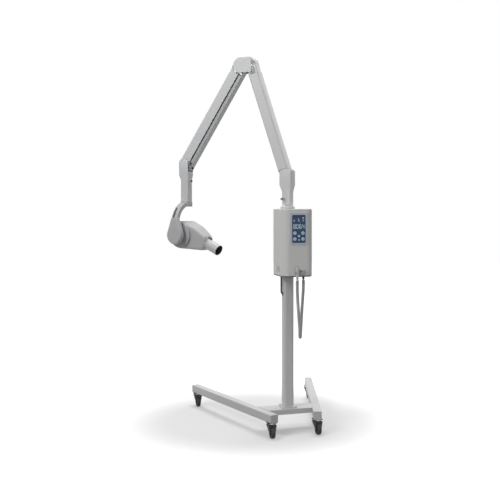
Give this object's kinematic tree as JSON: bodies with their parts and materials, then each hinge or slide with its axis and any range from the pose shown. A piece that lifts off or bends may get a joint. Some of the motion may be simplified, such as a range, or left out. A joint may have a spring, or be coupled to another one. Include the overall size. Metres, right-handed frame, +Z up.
{
  "type": "mobile dental x-ray unit",
  "caption": "Mobile dental x-ray unit: splayed caster base, square column with control box, folding double arm, and a yoke-hung tube head with an aiming cone.",
  "frame": {"origin": "centre of the bounding box at floor level, in the pose of the picture, the hanging cord left out", "axes": "+Z up; -Y to the front, where the base legs open; +X to the unit's left"},
  "size_m": [0.9908, 0.9378, 2.0556],
  "materials": {
    "paint_light": "satin powder coat",
    "paint_arm": "satin powder coat",
    "paint_box": "fine-textured powder coat",
    "plastic_light": "fine-textured moulding",
    "plastic_arm": "fine-textured moulding",
    "plastic_head": "fine-textured moulding",
    "plastic_white": "smooth moulding",
    "plastic_cone": "smooth moulding",
    "plastic_bezel": "satin moulding",
    "membrane_navy": "printed polyester, satin",
    "display_dark": "smooth window",
    "keys_blue": "embossed polyester",
    "plastic_grey": "fine-textured moulding",
    "plastic_dark": "fine-textured moulding",
    "plastic_black": "fine-textured moulding",
    "rubber_black": "satin jacket",
    "cord_grey": "semi-gloss jacket",
    "steel_bright": "zinc plated",
    "steel_dark": "plain",
    "aluminium_cast": "cast, plain",
    "tyre_black": "smooth moulding"
  },
  "bodies": {
    "base": {"legs": "paint_light", "leg_end_caps": "plastic_light", "crossbar": "paint_light", "caster_plates": "plastic_black", "caster_races": "steel_bright", "column_foot": "paint_light", "foot_bolts": "steel_bright", "column": "paint_light", "column_head": "paint_light", "collar_ring": "plastic_white", "box_shell": "paint_box", "box_back": "paint_box", "box_bottom": "plastic_dark", "box_straps": "paint_light", "power_unit": "steel_dark", "panel_bezel": "plastic_bezel", "panel_membrane": "membrane_navy", "panel_display": "display_dark", "panel_keys": "keys_blue", "switch_holder": "plastic_grey", "hand_switch": "plastic_light", "cord_gland": "plastic_black", "curly_cord": "cord_grey", "column_cable": "rubber_black", "cable_grommet": "rubber_black"},
    "exposure_button": {"exposure_button": "plastic_grey"},
    "swivel": {"shoulder_knuckle": "paint_light", "shoulder_pins": "steel_bright"},
    "swivel_lock": {"swivel_lock_knob": "plastic_dark"},
    "rear_arm": {"rear_arm_tube": "paint_arm", "rear_arm_ends": "aluminium_cast"},
    "rear_link": {"rear_link": "steel_bright"},
    "elbow": {"elbow_hub": "paint_light", "elbow_pins": "steel_bright"},
    "forearm": {"forearm_cover": "plastic_arm", "forearm_beam": "paint_arm", "forearm_ends": "aluminium_cast"},
    "fore_link": {"fore_link": "paint_light"},
    "wrist": {"front_knuckle": "paint_light", "front_pins": "steel_bright"},
    "brake": {"brake_knob": "plastic_black"},
    "yoke": {"yoke_arm": "paint_light", "tilt_cap": "plastic_light"},
    "tube_head": {"head_shell": "plastic_head", "head_cover": "plastic_head", "head_side_ring": "plastic_light", "tilt_shaft": "steel_dark", "tube_insert": "steel_dark", "cone_collar": "plastic_light", "cone": "plastic_cone", "cone_lamp": "plastic_dark"},
    "caster_rear_left": {"caster_fork_rear_left": "plastic_black"},
    "wheel_rear_left": {"caster_wheel_rear_left": "tyre_black"},
    "caster_front_left": {"caster_fork_front_left": "plastic_black"},
    "wheel_front_left": {"caster_wheel_front_left": "tyre_black"},
    "caster_rear_right": {"caster_fork_rear_right": "plastic_black"},
    "wheel_rear_right": {"caster_wheel_rear_right": "tyre_black"},
    "caster_front_right": {"caster_fork_front_right": "plastic_black"},
    "wheel_front_right": {"caster_wheel_front_right": "tyre_black"}
  },
  "joints": [
    {"name": "arm_swivel", "type": "hinge", "parent": "base", "child": "swivel", "pos_m": [-0.10669, 0.27112, 1.26], "axis": [0, 0, 1], "range_deg": [-215, 115]},
    {"name": "rear_arm_lift", "type": "hinge", "parent": "swivel", "child": "rear_arm", "pos_m": [-0.10669, 0.27112, 1.378], "axis": [0.6428, 0.766, 0], "range_deg": [-12, 40]},
    {"name": "elbow_level", "type": "hinge", "parent": "rear_arm", "child": "elbow", "pos_m": [0.05495, 0.13549, 2.00863], "axis": [0.6428, 0.766, 0], "range_deg": [-40, 12]},
    {"name": "rear_link_swing", "type": "hinge", "parent": "swivel", "child": "rear_link", "pos_m": [-0.09564, 0.26186, 1.36899], "axis": [0.6428, 0.766, 0], "range_deg": [-12, 40]},
    {"name": "forearm_lift", "type": "hinge", "parent": "elbow", "child": "forearm", "pos_m": [0.10245, 0.09564, 2.00863], "axis": [-0.6428, -0.766, 0], "range_deg": [-2, 60]},
    {"name": "wrist_level", "type": "hinge", "parent": "forearm", "child": "wrist", "pos_m": [0.37766, -0.13529, 1.44903], "axis": [-0.6428, -0.766, 0], "range_deg": [-60, 2]},
    {"name": "fore_link_swing", "type": "hinge", "parent": "elbow", "child": "fore_link", "pos_m": [0.08698, 0.10862, 1.99567], "axis": [-0.6428, -0.766, 0], "range_deg": [-2, 60]},
    {"name": "yoke_swivel", "type": "hinge", "parent": "wrist", "child": "yoke", "pos_m": [0.37766, -0.13529, 1.28], "axis": [0, 0, 1], "range_deg": [-165, 165]},
    {"name": "head_tilt", "type": "hinge", "parent": "yoke", "child": "tube_head", "pos_m": [0.45268, -0.0754, 1.06303], "axis": [-0.7815, -0.6239, 0], "range_deg": [-60, 66]},
    {"name": "button_press", "type": "slide", "parent": "base", "child": "exposure_button", "axis": [0, 0, -1], "range_m": [0, 0.003], "stiffness_N_per_m": 600, "springref_m": -0.002},
    {"name": "swivel_lock_turn", "type": "hinge", "parent": "swivel", "child": "swivel_lock", "pos_m": [-0.07299, 0.29268, 1.265], "axis": [0.8425, 0.5388, 0], "range_deg": [0, 360]},
    {"name": "brake_turn", "type": "hinge", "parent": "wrist", "child": "brake", "pos_m": [0.35468, -0.11601, 1.371], "axis": [-0.766, 0.6428, 0], "range_deg": [0, 360]},
    {"name": "caster_swivel_rear_left", "type": "hinge", "parent": "base", "child": "caster_rear_left", "pos_m": [0.02157, 0.39312, 0.076], "axis": [0, 0, 1], "continuous": true},
    {"name": "wheel_turn_rear_left", "type": "hinge", "parent": "caster_rear_left", "child": "wheel_rear_left", "pos_m": [0.02157, 0.40912, 0.0315], "axis": [1, 0, 0], "continuous": true},
    {"name": "caster_swivel_front_left", "type": "hinge", "parent": "base", "child": "caster_front_left", "pos_m": [0.25231, -0.43328, 0.076], "axis": [0, 0, 1], "continuous": true},
    {"name": "wheel_turn_front_left", "type": "hinge", "parent": "caster_front_left", "child": "wheel_front_left", "pos_m": [0.25231, -0.41728, 0.0315], "axis": [1, 0, 0], "continuous": true},
    {"name": "caster_swivel_rear_right", "type": "hinge", "parent": "base", "child": "caster_rear_right", "pos_m": [-0.23495, 0.39312, 0.076], "axis": [0, 0, 1], "continuous": true},
    {"name": "wheel_turn_rear_right", "type": "hinge", "parent": "caster_rear_right", "child": "wheel_rear_right", "pos_m": [-0.23495, 0.40912, 0.0315], "axis": [1, 0, 0], "continuous": true},
    {"name": "caster_swivel_front_right", "type": "hinge", "parent": "base", "child": "caster_front_right", "pos_m": [-0.46568, -0.43328, 0.076], "axis": [0, 0, 1], "continuous": true},
    {"name": "wheel_turn_front_right", "type": "hinge", "parent": "caster_front_right", "child": "wheel_front_right", "pos_m": [-0.46568, -0.41728, 0.0315], "axis": [1, 0, 0], "continuous": true}
  ],
  "couplings": [
    {"joint": "elbow_level", "follows": "rear_arm_lift", "ratio": -1},
    {"joint": "rear_link_swing", "follows": "rear_arm_lift", "ratio": 1},
    {"joint": "wrist_level", "follows": "forearm_lift", "ratio": -1},
    {"joint": "fore_link_swing", "follows": "forearm_lift", "ratio": 1}
  ]
}
